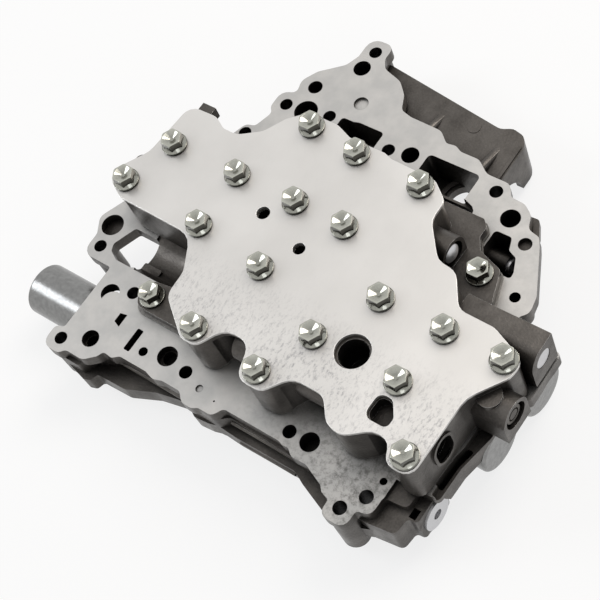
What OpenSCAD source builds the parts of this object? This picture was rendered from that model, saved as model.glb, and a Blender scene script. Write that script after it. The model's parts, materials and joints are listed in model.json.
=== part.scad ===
// Hydraulic valve body of an automatic transmission.
// X runs along the valve bores, Z up from the surface the part stands on.
// The deck is the machined top of the main casting; heights "over the deck" are measured from it.

/* [Castings] */
// Thickness of the lower body casting
lower_body_t = 6.8; // [6:0.2:10]
// Thickness of the flange under the machined deck
flange_t = 7; // [5.5:0.5:9]
// Height of the upper body casting
upper_h = 26; // [25:0.5:32]
// Height of the upper body's bolting feet
foot_h = 5; // [4:0.5:7]
// Wall of a casting around a bore
bore_wall = 4; // [3:0.25:5]
// Depth of the bolt bosses below the deck
boss_depth = 26; // [20:1:28]
// Depth of the tall boss at the front corner
tall_boss_depth = 32; // [26:1:34]
// Height of the rear shelf's top below the deck
shelf_drop = 9; // [7.5:0.5:12]
// Wall of the cored rear shelf
shelf_wall = 4; // [3:0.5:6]

/* [Plates] */
// Thickness of the bright cover plate
plate_t = 1.7; // [1:0.1:3]
// Thickness of the gasket under the cover plate
gasket_t = 0.8; // [0.4:0.1:1.5]
// Thickness of the separator plate on the deck
separator_t = 1.5; // [0.8:0.1:2.5]
// Thickness of the separator plate on the lower body
lower_separator_t = 1.2; // [0.8:0.1:2]
// Diameter of the large sight hole in the cover plate
sight_d = 17.6; // [12:0.2:18]

/* [Valves] */
// Diameter of the valve bores
valve_d = 10; // [8:0.25:11]
// Radial running clearance of valves and plungers
run_fit = 0.04; // [0.02:0.01:0.08]
// Height of the upper valve bores over the deck
valve_z = 14; // [13:0.25:15]
// Distance between the upper valve bores
valve_pitch = 29.2; // [28.5:0.1:29.6]
// Length of a spool valve
spool_len = 58; // [50:1:64]
// Stroke of a spool valve
spool_travel = 6; // [3:0.5:8]
// Installed length of a valve spring
valve_spring_len = 30; // [24:1:34]
// Wire diameter of the valve springs
valve_wire = 1.1; // [0.8:0.1:1.4]
// Length of the spool valve in front of the left solenoid
pilot_spool_len = 40; // [34:1:44]
// Installed length of that valve's spring
pilot_spring_len = 22; // [20:1:26]
// Stroke of that valve
pilot_travel = 4; // [2:0.5:6]
// Length of a bore end plug
plug_len = 12; // [10:0.5:14]
// Thickness of a plug's retaining clip
clip_t = 1.6; // [1:0.1:2]

/* [Solenoids] */
// Diameter of the solenoid cans
can_d = 28; // [26:0.5:30]
// Length of the solenoid cans
can_len = 36; // [34:0.5:40]
// Sheet thickness of the solenoid cans
can_wall = 1.2; // [0.8:0.1:1.6]
// Deck material left above the cans, with their air gap
can_roof = 4; // [3:0.25:5]
// Diameter of the solenoid noses
nose_d = 14; // [12:0.25:15]
// Length of the solenoid noses inside the casting
nose_len = 24; // [20:0.5:28]
// Stroke of a solenoid plunger
plunger_travel = 2; // [1:0.25:2.5]

/* [Fasteners] */
// Shank diameter of the flange bolts
bolt_d = 6; // [5:0.25:6.5]
// Width across flats of the flange bolts
bolt_af = 10; // [9:0.25:11]
// Flange diameter of the flange bolts
bolt_flange_d = 13.5; // [12.5:0.25:14]
// Height of the flange bolts' heads
bolt_head_h = 6.8; // [5:0.2:8]
// Length of the cover bolts' shanks
cover_bolt_len = 20; // [16:0.5:21]
// Length of the foot bolts' shanks
foot_bolt_len = 18; // [15:0.5:22]
// Shank diameter of the bolts under the lower body
lower_bolt_d = 5; // [4:0.25:5.5]
// Length of the lower body's bolts under their heads
lower_bolt_len = 13.6; // [11:0.2:14]
// Height of the lower body's bolt heads
lower_head_h = 3.8; // [3:0.2:4.2]
// Diameter of the dowel pins between the castings
dowel_d = 6; // [4:0.25:7]
// Length of the dowel pins
dowel_len = 11.9; // [10:0.1:13]
// Diameter of the deck's bolt holes
deck_hole_d = 7; // [6:0.25:8]

/* [Hidden] */
$fn = 48;

// Colours
cast_grey = "#5a5652";
steel = "#b9bab8";
plate_grey = "#d6d6d4";
zinc = "#c9c8c2";
spring_steel = "#8f9092";
copper = "#a8683c";
seal_black = "#202022";
gasket_grey = "#6f6c66";

// Heights of the stack, from the surface the part stands on
eps = 0.02;
axis_drop = can_d/2 + can_roof;
right_drop = axis_drop + 2.5;
core_wall = 5;
core_depth = axis_drop + nose_d/2 + core_wall;
deck_z = lower_body_t + lower_separator_t + core_depth;
upper_z = deck_z + separator_t;
gasket_z = upper_z + upper_h;
plate_z = gasket_z + gasket_t;
plate_top = plate_z + plate_t;

// Outlines: [x, y, corner radius], counter-clockwise seen from above
plate_outline = [
    [-104, 1.5, 12], [-113, -12, 6], [-113, -21, 7], [-101, -27.2, 9], [-53, -28.2, 12],
    [-43, -46, 10], [-42.5, -60, 8], [-22, -75.2, 6], [-13, -75.2, 6], [-5, -61.4, 10], [10, -61.4, 8],
    [15.4, -78.9, 7], [29.5, -78.9, 7], [39, -66.4, 10], [57, -66.4, 8], [66, -77, 9], [75, -78.8, 9],
    [86.5, -69.8, 9], [95.5, -69.8, 7], [100, -79.8, 6], [113.2, -80, 7], [114.2, -37, 14],
    [126, -20, 8], [126.8, -10.5, 8], [107, -2.4, 9], [87.5, -2, 8], [76, 13.8, 9], [65, 15, 9],
    [50.6, 31.5, 9], [50.6, 43, 6], [40, 50.8, 7], [14, 51.6, 4], [9, 53.2, 4], [-12, 53.2, 6],
    [-22, 56.8, 8], [-40, 57, 8], [-49, 48.5, 6], [-55.5, 37.5, 8], [-67, 30, 8], [-76, 30, 5],
    [-84, 34.2, 8], [-101.4, 33.8, 7]];
deck_outline = [
    [-42.6, 125, 7], [-57, 125, 7.2], [-57, 112, 3], [-60, 104.5, 6], [-72, 94.5, 8], [-77, 86, 6],
    [-74.5, 78.5, 3], [-82.8, 75.5, 6.5], [-82.8, 65, 5], [-79.6, 62, 3], [-83, 51.5, 3],
    [-88.5, 50, 4], [-91.5, 42, 3], [-100, 36, 6], [-106, 20, 6], [-106, -6, 6], [-120, -17, 4],
    [-127, -32, 5], [-121.6, -41, 4], [-121.6, -53.5, 7], [-101.4, -53.5, 1.5], [-101.4, -92.5, 2],
    [-106.5, -93.5, 4], [-106.5, -105.5, 7.4], [-95, -105.5, 4], [-92, -102.2, 3], [-80.5, -102.2, 5],
    [-74.5, -97, 3], [-72.8, -93.4, 2], [-67, -94, 2], [-63.5, -91.2, 3], [-46, -91.2, 3],
    [-40, -92.8, 4], [-35, -91.2, 3], [-23.5, -91.2, 3], [-19, -95.6, 5], [-12.5, -95.6, 4],
    [-9.5, -93.8, 2], [-1, -93.8, 4], [2.2, -88, 3], [36, -88, 3], [39, -89, 2], [42.3, -88.6, 2],
    [46, -91.6, 4], [54.5, -91.2, 3], [66.5, -96, 3], [69, -98.6, 2], [73.8, -99.8, 2],
    [74, -107.8, 7], [88, -107.8, 7], [88.2, -98, 2], [95.3, -96.5, 5], [95.5, -86, 2], [107, -85, 3],
    [107, -76, 2], [116.8, -75.5, 3], [117.2, -57, 6], [121, -38, 2], [122, -20, 2], [128, -15, 2],
    [128, 11, 2], [112, 12.5, 4], [99.5, 17.2, 3], [104.5, 22, 5], [102.8, 31, 6], [90, 54.5, 4],
    [87, 59, 3], [80, 60.5, 4], [77, 68, 6], [71, 71.8, 5], [63, 72.3, 3], [58.5, 78.5, 5],
    [45, 78.5, 6], [37, 84, 5], [26, 84, 5], [22, 86, 4], [16.5, 85.2, 3], [10, 90.5, 6], [-9, 91, 6],
    [-16, 92.6, 4], [-20, 101, 8], [-27, 107.5, 8], [-39, 110.8, 5], [-42.6, 116, 4]];
front_outline = [
    [-101.4, -62, 2], [-101.4, -95, 3], [-104.5, -99, 3], [-100, -104.5, 5], [-85, -104.5, 2],
    [-82, -97, 2], [-70, -91, 5], [-24, -91, 5], [-18, -94, 5], [-2, -93.4, 4], [4, -88.6, 4],
    [53, -90.4, 6], [76, -98, 5], [92, -99, 3], [107, -97, 3], [108, -88, 2], [113, -87.6, 2],
    [113, -66.5, 3], [60, -62, 3]];
front_ledge = [
    [-101.4, -64, 2], [-101.4, -98, 3], [-99.5, -103.8, 3], [-84, -107.4, 2], [-80, -106.2, 2],
    [-78.5, -101.8, 2], [-60, -101.2, 5], [-44, -94.6, 6], [-30, -91.8, 5], [-23, -92.2, 4], [-18, -95.4, 4],
    [-9, -94.6, 4], [-4, -93.2, 3], [8, -93.8, 3], [44, -93.4, 5], [51, -96.8, 6], [64, -101.6, 5],
    [72, -104.6, 4], [80, -104, 3], [92, -99, 3], [104, -96, 4], [106, -66, 3], [60, -64, 3]];
window_lug = [[-109, -41.5, 2], [-107.5, -45.5, 2], [-101.5, -48.6, 2], [-91.5, -48.6, 2], [-88, -47, 1],
    [-88, -28.8, 1], [-103.5, -28.8, 2]];
window_rear_left = [[-42.3, 62, 1.5], [-16.2, 62, 1.5], [-16.2, 76.8, 2], [-32, 76.8, 2], [-35, 75.9, 2],
    [-42.3, 75.9, 2]];
window_rear_right = [[12.3, 60.6, 2], [43, 60.6, 2], [43, 76.2, 2.5], [12.3, 76.2, 2.5]];
window_wing = [[66, 36, 2], [79, 33.6, 2], [86.6, 33.6, 2], [86.4, 37, 2], [83, 44.5, 2], [78, 46.5, 2],
    [75.5, 53.2, 2], [66, 53.2, 2]];
window_rim = [[112.4, -70, 1], [115.5, -70, 1], [115.9, -57, 4], [118, -47.5, 1], [114.6, -47.5, 1],
    [113.2, -54, 4]];
rim_block = [[107, -71, 1], [116.6, -71, 3], [117, -57, 5], [121, -37, 2], [107, -37, 1]];
rim_top = [[113.6, -75, 1], [125, -75, 1], [125, -36.5, 1], [114.6, -36.5, 1]];
well_outline = [[8.6, 56.5, 3], [47, 56.5, 3], [47, 79.6, 3], [8.6, 79.6, 3]];
well_at = [34.3, 68.3];
well_r = 9.2;
strip_outline = [[6, 54.8, 1], [51, 54.8, 1], [50.6, 57.6, 1], [48.6, 59.6, 1], [43.4, 61.4, 1],
    [6, 61.2, 1]];
strip_slot = [[14, 56.4, 0.8], [48.4, 56.4, 0.8], [48.4, 59.4, 0.8], [14, 59.4, 0.8]];
trough_tab = [[-88, -47.5, 1], [-76.5, -47.5, 1], [-76.5, -41.5, 1], [-88, -41.5, 1]];
wing_block = [[62, 15, 3], [86, 15, 3], [89, 34, 3], [87.5, 42, 3], [80, 56.5, 3], [62, 56.5, 3]];
wing_tab = [[71, 60, 2], [79, 59.4, 2], [84, 61.6, 2], [78.4, 71, 2], [72, 70.6, 2]];
pocket_1 = [[-9, -82, 1], [11, -82, 1], [12, -66, 6], [8, -56, 6], [-4, -56, 6], [-10, -66, 6]];
pocket_2 = [[33, -82, 1], [62, -82, 1], [60, -69, 8], [55, -60, 5], [40, -60, 6], [34, -70, 6]];
pocket_3 = [[83, -82, 1], [97, -82, 1], [97, -72, 5], [94, -63, 5], [87, -63, 5], [83, -72, 5]];
shelf_outline = [[-46, 119.5, 3], [-46, 84, 3], [49, 77.5, 5], [49, 105, 8], [45, 110, 5], [38, 111.5, 5],
    [32, 108.6, 6]];
shelf_rim = [[46.4, 79, 0.4], [48, 79, 0.4], [48, 103.5, 0.4], [46.4, 103.5, 0.4]];
foot_left = [[-72, -51, 5], [-72, -66, 6], [-36, -66, 3], [-36, -46, 3]];
foot_right = [[30, 40, 3], [60, 10, 3], [90, 2, 3], [88.5, 17, 3], [83, 33, 3], [69, 37.5, 4], [64.5, 44, 2],
    [64.5, 50, 3], [61, 53.4, 2], [38, 53.4, 3]];
sight_corner = [[78.6, -65.9, 4], [91.4, -66, 3.6], [91.6, -60.4, 3], [86.2, -53, 3.6], [79, -53.1, 4]];

// Bolts and holes: [x, y] or [x, y, diameter, depth]
cover_bolt_at = [[-33.3, 50.1], [-3, 46.5], [35.9, 44.6], [-93.4, 10.6], [-51.4, 10.3], [-14.7, 10.3],
    [15.4, 9.8], [-103.7, -17.7], [-51.4, -21.9], [-8.6, -27], [53.1, -14.2], [88.3, -14.2],
    [119.5, -14.2], [35.8, -44.6], [83.8, -45.1], [-18.4, -67.9], [22.4, -71.6], [106.3, -72.9]];
foot_bolt_at = [[-64.7, -58.2], [75.4, 26.8]];
lower_bolt_at = [[-76, 32], [-76, -6], [-20, 48], [20, 44], [-34, -45.5], [20, -45.5], [74, -45.5],
    [68, 10.5]];
dowel_at = [[-72, 18], [106, -50]];
ball_at = [[0, 14.8], [44, 14.8]];
through_hole_at = [[-49.8, 117.6], [-75.4, 69.8], [-8.4, 69.2], [54.7, 71.8], [-114.9, -46],
    [-80.1, -59.6], [-99, -98.1], [88.5, -90.2], [-85.6, 45.5], [-49.1, 73.3]];
tall_hole_at = [80.8, -100.5];
blind_hole = [[-50.7, 106.1, 9.5, 16], [-67.2, 85.5, 8, 16], [-62.8, 70.7, 13, 16], [3.7, 71.4, 9.5, 16],
    [69.1, 61.9, 10.2, 13], [93.9, 26.3, 5.5, 12], [-117, -32.9, 12.5, 5.5], [-54, -83.3, 5, 9],
    [-40.9, -79.3, 11, 5], [-42, -78.6, 7.4, 10], [-27, -81.7, 7, 9], [38, -81.7, 7, 9],
    [49.7, -81.3, 10, 10], [91.2, -80.2, 3.7, 8], [-84.2, -90.8, 9.5, 5], [-84.8, -90.6, 7, 15],
    [83, 52.8, 7, 3], [-38.1, 87.1, 8, 1.6], [-15.3, -85.3, 4, 1], [-4.5, -87.1, 1, 4]];
boss_wall = 3;
rough_drop = 3.8;
pad_drop = 2.4;
ledge_top = 16;
gusset_at = [[-0.4, 88], [37, 82]];
gusset_r = 2.6;
lower_web_t = 2.4;
gallery_x = 78;
gallery_y = 45.4;
gallery_r = 4;
gallery_drop = 14;

// Valve bores: [x of the mouth, depth of the plug in it, housing radius over the bore]
valve_mouth_x = [112, 131.5, 127.7, 62.3];
plug_recess = [4, 3.4, 0.3, 1];
valve_y0 = -58;
relay_shift = 2.4;
function valve_y(i) = valve_y0 + i*valve_pitch - (i == 3 ? relay_shift : 0);
front_y = -77;
pilot_y = front_y + 1.5;
modulator_mouth_x = 113;
modulator_recess = 0.6;
end_gap = 0.3;
bore_r = valve_d/2;
housing_r = bore_r + bore_wall;
mouth_step = [0.8, 2, 0.15, 2];
mouth_depth = [2.5, 5, 0.5, 4];
lip_rise = 5;
lip_r = bore_r + 2.2;
plug_head = [0, 2.2, 0, 0];
dome_r = bore_r*1.5;
flange_disc_r = housing_r - 0.5;
flange_disc_t = 1.2;
function bore_depth(recess) = recess + plug_len + end_gap + spool_len + valve_spring_len;
spring_r = bore_r - valve_wire/2 - 0.35;
land_count = 4;
land_len = spool_len/8;
neck_r = bore_r*0.58;
groove_r = bore_r + 1.4;
groove_len = land_len*0.8;
groove_neck_r = bore_r*0.62;
function spool_x(i) = valve_mouth_x[i] - plug_recess[i] - plug_len - end_gap;
function port_x(i, k) = spool_x(i) - land_len*(2*k + 1.9) + groove_len/2;
clip_x = plug_len*0.62;
clip_w = bore_r*1.7;
clip_gap = 0.1;

// Solenoid seats
pilot_face_x = -103.8;
seat_root = 12;
lockup_face_x = 87;
lockup_y = -1.2;
shift_face_x = 84.5;
shift_y = -34;
nose_r = nose_d/2;
pole_t = 3;
coil_inner_r = 5.2;
coil_len = can_len - pole_t - can_wall - 7;
armature_z = pole_t + end_gap;
armature_len = coil_len - 2 - plunger_travel;
plunger_pin_r = 2;
return_wire = 0.7;
seal_r = 0.68;
pilot_bore_x = pilot_face_x + nose_len + 1.5;
pilot_bore_end = pilot_bore_x + end_gap + pilot_spool_len + pilot_spring_len;

// Core of the main casting, under the cover plate
core_outline = [[-44, -53, 4], [shift_face_x, -53, 3], [shift_face_x, -18, 0], [lockup_face_x, -18, 0],
    [lockup_face_x, 16, 3], [64, 18, 4], [34, 26, 6], [30, 52, 6], [-58, 58, 6], [-72, 46, 6],
    [-84, 34, 6], [-84, -16, 4], [-44, -20, 6]];

function unit(v) = v/norm(v);
function corner(a, p, b) =
    let (u = unit([a.x - p.x, a.y - p.y]), v = unit([b.x - p.x, b.y - p.y]),
        half = acos(u*v)/2,
        edge = min(norm([a.x - p.x, a.y - p.y]), norm([b.x - p.x, b.y - p.y])),
        reach = min(p.z/tan(half), 0.48*edge),
        r = reach*tan(half),
        c = [p.x, p.y] + unit(u + v)*r/sin(half),
        s = [p.x, p.y] + u*reach - c,
        from = atan2(s.y, s.x),
        turn = sign(u.y*v.x - u.x*v.y)*(180 - 2*half),
        n = max(2, ceil(abs(turn)/23)))
    p.z == 0 ? [[p.x, p.y]] : [for (k = [0:n]) c + r*[cos(from + turn*k/n), sin(from + turn*k/n)]];
function rounded(pts) =
    let (n = len(pts))
    [for (i = [0:n - 1]) each corner(pts[(i + n - 1)%n], pts[i], pts[(i + 1)%n])];
function inset(pts, d) =
    let (n = len(pts))
    [for (i = [0:n - 1])
        let (a = pts[(i + n - 1)%n], p = pts[i], b = pts[(i + 1)%n],
            e1 = unit([p.x - a.x, p.y - a.y]), e2 = unit([b.x - p.x, b.y - p.y]),
            n1 = [-e1.y, e1.x], n2 = [-e2.y, e2.x],
            q = [p.x, p.y] + d*(n1 + n2)/(1 + n1*n2))
        [q.x, q.y, p.z]];

// A prism of a rounded outline from one height to another
module slab(pts, z0, z1) {
    translate([0, 0, z0]) linear_extrude(z1 - z0) polygon(rounded(pts));
}

// A round bar along X from one place to another
module bar_x(x0, x1, y, z, r) {
    translate([x0, y, z]) rotate([0, 90, 0]) cylinder(h = x1 - x0, r = r);
}

// Places its children at a bore's mouth, their +Z pointing out of it along X
module out_x(x, y, z, way = 1) {
    translate([x, y, z]) rotate([0, 90*way, 0]) children();
}

// An upright drill from a face downwards
module drill(x, y, top, depth, r) {
    translate([x, y, top - depth]) cylinder(h = depth + 1, r = r);
}

// A hollow for one valve, its mouth at the origin and its depth along -Z
module valve_hollow(recess) {
    translate([0, 0, -bore_depth(recess)]) cylinder(h = bore_depth(recess) + 1, r = bore_r);
    for (k = [0:land_count - 2])
        translate([0, 0, -recess - plug_len - end_gap - land_len*(2*k + 1.9)])
            cylinder(h = groove_len, r = groove_r);
}

// The slot a plug's clip is pushed into from below
module clip_slot(x, y, foot, z) {
    translate([x - clip_x - clip_t/2 - clip_gap, y - clip_w/2 - clip_gap, foot])
        cube([clip_t + 2*clip_gap, clip_w + 2*clip_gap, z + bore_r*0.8 - foot]);
}

// A coil of round wire standing on the origin
module coil_spring(r, wire, length, turns) {
    sides = 6;
    steps = 10;
    rings = turns*steps;
    rise = length - wire;
    pts = [for (k = [0:rings]) for (j = [0:sides - 1])
        let (a = 360*k/steps, b = 360*j/sides, q = r + wire/2*cos(b))
        [q*cos(a), q*sin(a), wire/2 + rise*k/rings + wire/2*sin(b)]];
    skin = [for (k = [0:rings - 1]) for (j = [0:sides - 1])
        let (i = k*sides + j, n = k*sides + (j + 1)%sides)
        each [[i, n, n + sides], [i, n + sides, i + sides]]];
    ends = [[for (j = [0:sides - 1]) sides - 1 - j], [for (j = [0:sides - 1]) rings*sides + j]];
    polyhedron(pts, concat(skin, ends));
}

// A flange bolt, the underside of its flange at the origin
module flange_bolt(shank) {
    rim_t = 1.3;
    cone_h = 1.5;
    corner_r = bolt_af/2/cos(30);
    dish_r = bolt_af/2 - 0.5;
    dish_depth = 1.6;
    difference() {
        union() {
            cylinder(h = rim_t, r = bolt_flange_d/2);
            translate([0, 0, rim_t]) cylinder(h = cone_h, r1 = bolt_flange_d/2 - 0.3, r2 = bolt_af/2);
            intersection() {
                translate([0, 0, rim_t]) cylinder(h = bolt_head_h - rim_t, r = corner_r, $fn = 6);
                translate([0, 0, rim_t])
                    cylinder(h = bolt_head_h - rim_t, r1 = corner_r + bolt_head_h, r2 = corner_r - 0.35);
            }
            translate([0, 0, -shank]) cylinder(h = shank + eps, r = bolt_d/2);
        }
        translate([0, 0, bolt_head_h - dish_depth])
            cylinder(h = dish_depth + eps, r1 = dish_r*0.22, r2 = dish_r);
    }
}

// Main casting: deck flange, front block, core, bosses and rear shelf
module main_solid() {
    d = deck_z;
    slab(deck_outline, d - flange_t, d);
    slab(core_outline, d - core_depth, d - flange_t + eps);
    slab(front_outline, d - axis_drop - housing_r + 1, d - flange_t + eps);
    slab(front_ledge, d - axis_drop - housing_r + 1, d - ledge_top);
    bar_x(pilot_face_x, front_outline[0].x + seat_root, pilot_y, d - axis_drop, can_d/2);
    bar_x(modulator_mouth_x - 30, modulator_mouth_x, front_y - 1, d - axis_drop, housing_r + 1);
    // blocks round the trough, the rear left pocket, the rear right well, the wing pocket and the rim
    slab([[-88, -14, 2], [-88, -50, 2], [-43, -50, 0], [-43, -14, 0]], d - 16, d - flange_t + eps);
    slab([[-46, 56, 3], [-12, 56, 3], [-12, 80, 3], [-46, 80, 3]], d - 22, d - flange_t + eps);
    slab(well_outline, d - 24, d - flange_t + eps);
    slab(wing_block, d - 20, d - flange_t + eps);
    slab(rim_block, d - 15, d - flange_t + eps);
    // bolt and passage bosses
    for (p = through_hole_at)
        translate([p.x, p.y, d - boss_depth])
            cylinder(h = boss_depth - flange_t + eps, r = deck_hole_d/2 + boss_wall);
    translate([tall_hole_at.x, tall_hole_at.y, d - tall_boss_depth])
        cylinder(h = tall_boss_depth - flange_t + eps, r = deck_hole_d/2 + boss_wall + 0.6);
    for (p = foot_bolt_at)
        translate([p.x, p.y, d - boss_depth]) cylinder(h = boss_depth - flange_t + eps, r = 7);
    for (p = blind_hole)
        if (p[3] > 8)
            translate([p.x, p.y, d - p[3] - boss_wall])
                cylinder(h = p[3] + boss_wall - flange_t + eps, r = p[2]/2 + boss_wall);
    // stepped edge of the wing
    slab(wing_tab, d - 13, d - flange_t - 1);
    translate([97, 24, d - 12]) cylinder(h = 12 - flange_t + eps, r = 6);
    // cast ribs along the front wall
    bar_x(-70, -24, -90.7, d - 11.5, 1.4);
    bar_x(4, 53, -88.9, d - 11.5, 1.3);
    bar_x(9, 43, -93.3, d - 21, 1.2);
}

// Rear shelf, cored from below, with low round gussets that run out on it and a rim at its open end
module rear_shelf() {
    top = deck_z - shelf_drop;
    foot = deck_z - core_depth - 5;
    difference() {
        union() {
            slab(shelf_outline, foot, top);
            slab(shelf_rim, top - eps, top + 0.7);
            for (p = gusset_at)
                translate([p.x, p.y, top + 2]) rotate([-105, 0, 0]) cylinder(h = 18, r = gusset_r);
        }
        slab(inset(shelf_outline, shelf_wall), foot - 1, top - shelf_wall);
        bar_x(-14, 56, 79, foot, 17);
    }
    translate([19.3, 104, top - eps]) cylinder(h = 0.3, r = 3.6);
}

// Main casting before drilling: its windows, the trough beside the left lug, and the bosses in the windows
module main_cast() {
    d = deck_z;
    difference() {
        union() {
            main_solid();
            rear_shelf();
        }
        slab(window_lug, d - 60, d + 1);
        slab(window_rear_left, d - 19, d + 1);
        slab(window_rear_right, d - 60, d + 1);
        slab(window_wing, d - 17, d + 1);
        slab(window_rim, d - 12.5, d + 1);
        bar_x(-89, -46, -37.5, d + 7.5, 13.5);
        // faces left rough from the die
        slab(strip_outline, d - rough_drop, d + 1);
        slab(strip_slot, d - 11, d + 1);
        slab(rim_top, d - rough_drop, d + 1);
        translate([95.8, -89, d - pad_drop]) cube([20, 12.6, pad_drop + 1]);
    }
    slab(trough_tab, d - 9, d - 3.4);
    // floor of the rear right well, raised round its way through
    difference() {
        union() {
            slab(inset(well_outline, 1), d - 24, d - 21.5);
            intersection() {
                slab(inset(well_outline, 1), d - 24, d - 17.5);
                translate([well_at.x, well_at.y, d - 24]) cylinder(h = 10, r = well_r + 4.5);
            }
        }
        translate([well_at.x, well_at.y, d - 25]) cylinder(h = 10, r = well_r);
        translate([well_at.x, well_at.y, d - 19]) cylinder(h = 10, r = well_r + 2);
    }
    bar_x(63, gallery_x - 1.5, gallery_y, d - gallery_drop, gallery_r + 1.8);
}

module main_body() {
    d = deck_z;
    color(cast_grey) difference() {
        main_cast();
        // holes
        for (p = concat(through_hole_at, [tall_hole_at]))
            drill(p.x, p.y, d, deck_z, deck_hole_d/2);
        for (p = blind_hole)
            drill(p.x, p.y, d, p[3], p[2]/2);
        for (p = foot_bolt_at)
            drill(p.x, p.y, d, foot_bolt_len - foot_h, bolt_d/2 + 0.03);
        for (p = dowel_at)
            drill(p.x, p.y, d, dowel_len/2 + 0.05, dowel_d/2 + 0.02);
        for (p = lower_bolt_at)
            translate([p.x, p.y, d - core_depth - 1])
                cylinder(h = lower_bolt_len - lower_web_t - lower_separator_t + 3, r = lower_bolt_d/2 + 0.03);
        translate([-79, -78.5, d - 7]) linear_extrude(8) polygon([[0, 1.5], [4.2, 0], [4.2, 7.4], [0, 6.6]]);
        slab([[-64.7, -87, 0.8], [-60.9, -87, 0.8], [-60.9, -74.2, 0.8], [-64.7, -74.2, 0.8]], d - 7, d + 1);
        difference() {
            drill(-91.6, -65.4, d, 8, 5.2);
            drill(-87.4, -69.6, d, 10, 6.4);
        }
        // solenoid noses, their feeds, and room for the cans under the deck
        for (s = [[lockup_face_x, lockup_y], [shift_face_x, shift_y]]) {
            bar_x(s[0] - nose_len - 1.5, s[0] + 1, s[1], d - right_drop, nose_r + 0.03);
            bar_x(s[0] - nose_len - 22, s[0] - nose_len, s[1], d - right_drop, 3);
            bar_x(s[0], s[0] + 60, s[1], d - right_drop, can_d/2 + 0.4);
        }
        bar_x(pilot_face_x - 1, pilot_bore_x, pilot_y, d - axis_drop, nose_r + 0.03);
        // front valve bores
        bar_x(pilot_bore_x - 1, pilot_bore_end, pilot_y, d - axis_drop, bore_r);
        out_x(modulator_mouth_x, front_y, d - axis_drop) valve_hollow(modulator_recess);
        clip_slot(modulator_mouth_x - modulator_recess, front_y, 0, d - axis_drop);
        bar_x(modulator_mouth_x, modulator_mouth_x + 6, front_y, d - axis_drop, flange_disc_r + 0.3);
        translate([modulator_mouth_x - 5.4, front_y - 10, d - 14]) cube([3.6, 5, 8]);
        // gallery that ends in the wing pocket
        bar_x(60, gallery_x + 2, gallery_y, d - gallery_drop, gallery_r + 0.02);
    }
}

// Upper casting: walls under the cover plate, bore housings, feet
module upper_solid() {
    z = upper_z;
    slab(inset(plate_outline, 0.8), z, z + upper_h);
    slab(foot_left, z, z + foot_h);
    slab(foot_right, z, z + foot_h);
    // bore housings that stand out of the walls
    for (i = [1:3])
        let (x0 = [0, 84, 84, 30][i], r = housing_r) {
            bar_x(x0, valve_mouth_x[i], valve_y(i), deck_z + valve_z, r);
            translate([x0, valve_y(i) - r, z]) cube([valve_mouth_x[i] - x0, 2*r, deck_z + valve_z - z]);
        }
    translate([84, valve_y(2), z]) cube([valve_mouth_x[2] - 84, housing_r, deck_z + valve_z + housing_r - z]);
    bar_x(-2, valve_mouth_x[0], valve_y(0), deck_z + valve_z, housing_r);
    front_lip(lip_r, valve_mouth_x[0] - 2, valve_mouth_x[0] + 2);
    translate([120, valve_y(1) - 0.5, deck_z + valve_z]) cylinder(h = housing_r + 1.2, r = 6);
    // bosses on the hidden left side
    bar_x(-115.2, -90, valve_y(2) - 3.5, deck_z + valve_z, housing_r - 1.6);
    translate([-108, 25, z + 6]) cube([8.6, 20, 7]);
}

// An upright oval along X at the front bore's mouth
module front_lip(r, x0, x1) {
    for (rise = [0, lip_rise])
        bar_x(x0, x1, valve_y(0), deck_z + valve_z + rise, r);
    translate([x0, valve_y(0) - r, deck_z + valve_z]) cube([x1 - x0, 2*r, lip_rise]);
}

// Scalloped pockets cut into the front wall between the bolt bosses
module front_pockets() {
    z = upper_z - 1;
    top = upper_z + upper_h - 3;
    for (pocket = [pocket_1, pocket_2, pocket_3])
        slab(pocket, z, top);
}

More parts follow.
